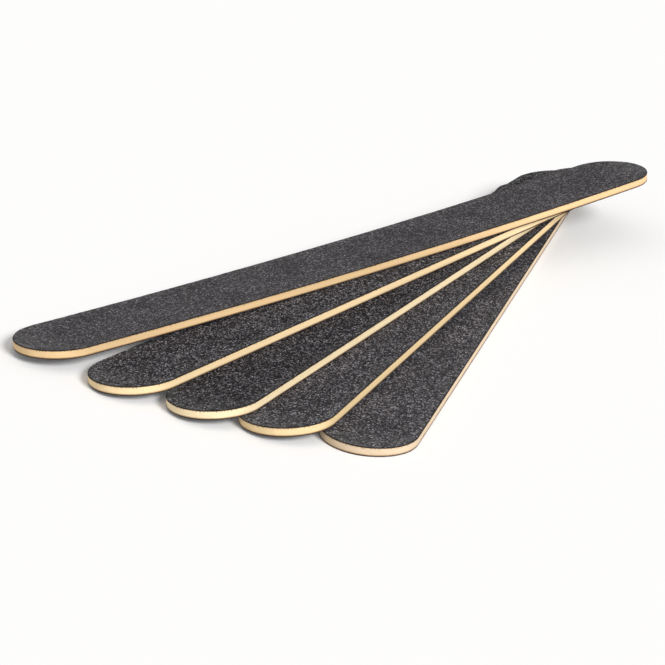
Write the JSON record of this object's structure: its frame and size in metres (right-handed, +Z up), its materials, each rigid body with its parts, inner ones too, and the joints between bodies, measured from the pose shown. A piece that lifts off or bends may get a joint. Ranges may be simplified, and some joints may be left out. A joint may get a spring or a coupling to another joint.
{
  "type": "emery board",
  "caption": "Fan of loose emery boards: flat wooden nail files with half-round ends and dark abrasive sheet on both faces, stacked and swivelled apart.",
  "frame": {"origin": "centre of the bottom board's lower face, on the surface that the fan lies on", "axes": "+X along the bottom board towards the crowded far end of the fan, +Y towards the side that the other boards' near ends are fanned to, +Z up, out of the surface"},
  "size_m": [0.1797, 0.1046, 0.0159],
  "materials": {
    "wood_1": "sanded, unvarnished, straight grain along the board",
    "wood_2": "sanded, unvarnished, straight grain along the board",
    "wood_3": "sanded, unvarnished, straight grain along the board",
    "wood_4": "sanded, unvarnished, straight grain along the board",
    "wood_5": "sanded, unvarnished, straight grain along the board",
    "glue": "dried glue, dull",
    "paper": "dyed backing paper, matt",
    "grit": "coarse dark grit in resin, matt with sparkling grains"
  },
  "bodies": {
    "board_1": {"board_1_wood_core": "wood_1", "board_1_under_glue": "glue", "board_1_under_paper": "paper", "board_1_under_grit": "grit", "board_1_top_glue": "glue", "board_1_top_paper": "paper", "board_1_top_grit": "grit"},
    "board_2": {"board_2_wood_core": "wood_2", "board_2_under_glue": "glue", "board_2_under_paper": "paper", "board_2_under_grit": "grit", "board_2_top_glue": "glue", "board_2_top_paper": "paper", "board_2_top_grit": "grit"},
    "board_3": {"board_3_wood_core": "wood_3", "board_3_under_glue": "glue", "board_3_under_paper": "paper", "board_3_under_grit": "grit", "board_3_top_glue": "glue", "board_3_top_paper": "paper", "board_3_top_grit": "grit"},
    "board_4": {"board_4_wood_core": "wood_4", "board_4_under_glue": "glue", "board_4_under_paper": "paper", "board_4_under_grit": "grit", "board_4_top_glue": "glue", "board_4_top_paper": "paper", "board_4_top_grit": "grit"},
    "board_5": {"board_5_wood_core": "wood_5", "board_5_under_glue": "glue", "board_5_under_paper": "paper", "board_5_under_grit": "grit", "board_5_top_glue": "glue", "board_5_top_paper": "paper", "board_5_top_grit": "grit"}
  },
  "joints": [
    {"name": "swivel_1_2", "type": "hinge", "parent": "board_1", "child": "board_2", "pos_m": [0.0446, 0.00007, 0.00315], "axis": [0, 0.1238, 0.9923], "range_deg": [0, 7]},
    {"name": "swivel_2_3", "type": "hinge", "parent": "board_2", "child": "board_3", "pos_m": [0.05641, -0.00112, 0.00528], "axis": [0, 0.1238, 0.9923], "range_deg": [0, 6]},
    {"name": "swivel_3_4", "type": "hinge", "parent": "board_3", "child": "board_4", "pos_m": [0.02708, 0.00584, 0.0064], "axis": [0, 0.1238, 0.9923], "range_deg": [0, 9.3]},
    {"name": "swivel_4_5", "type": "hinge", "parent": "board_4", "child": "board_5", "pos_m": [0.02569, 0.00665, 0.00828], "axis": [0, 0.1238, 0.9923], "range_deg": [0, 10.5]}
  ]
}
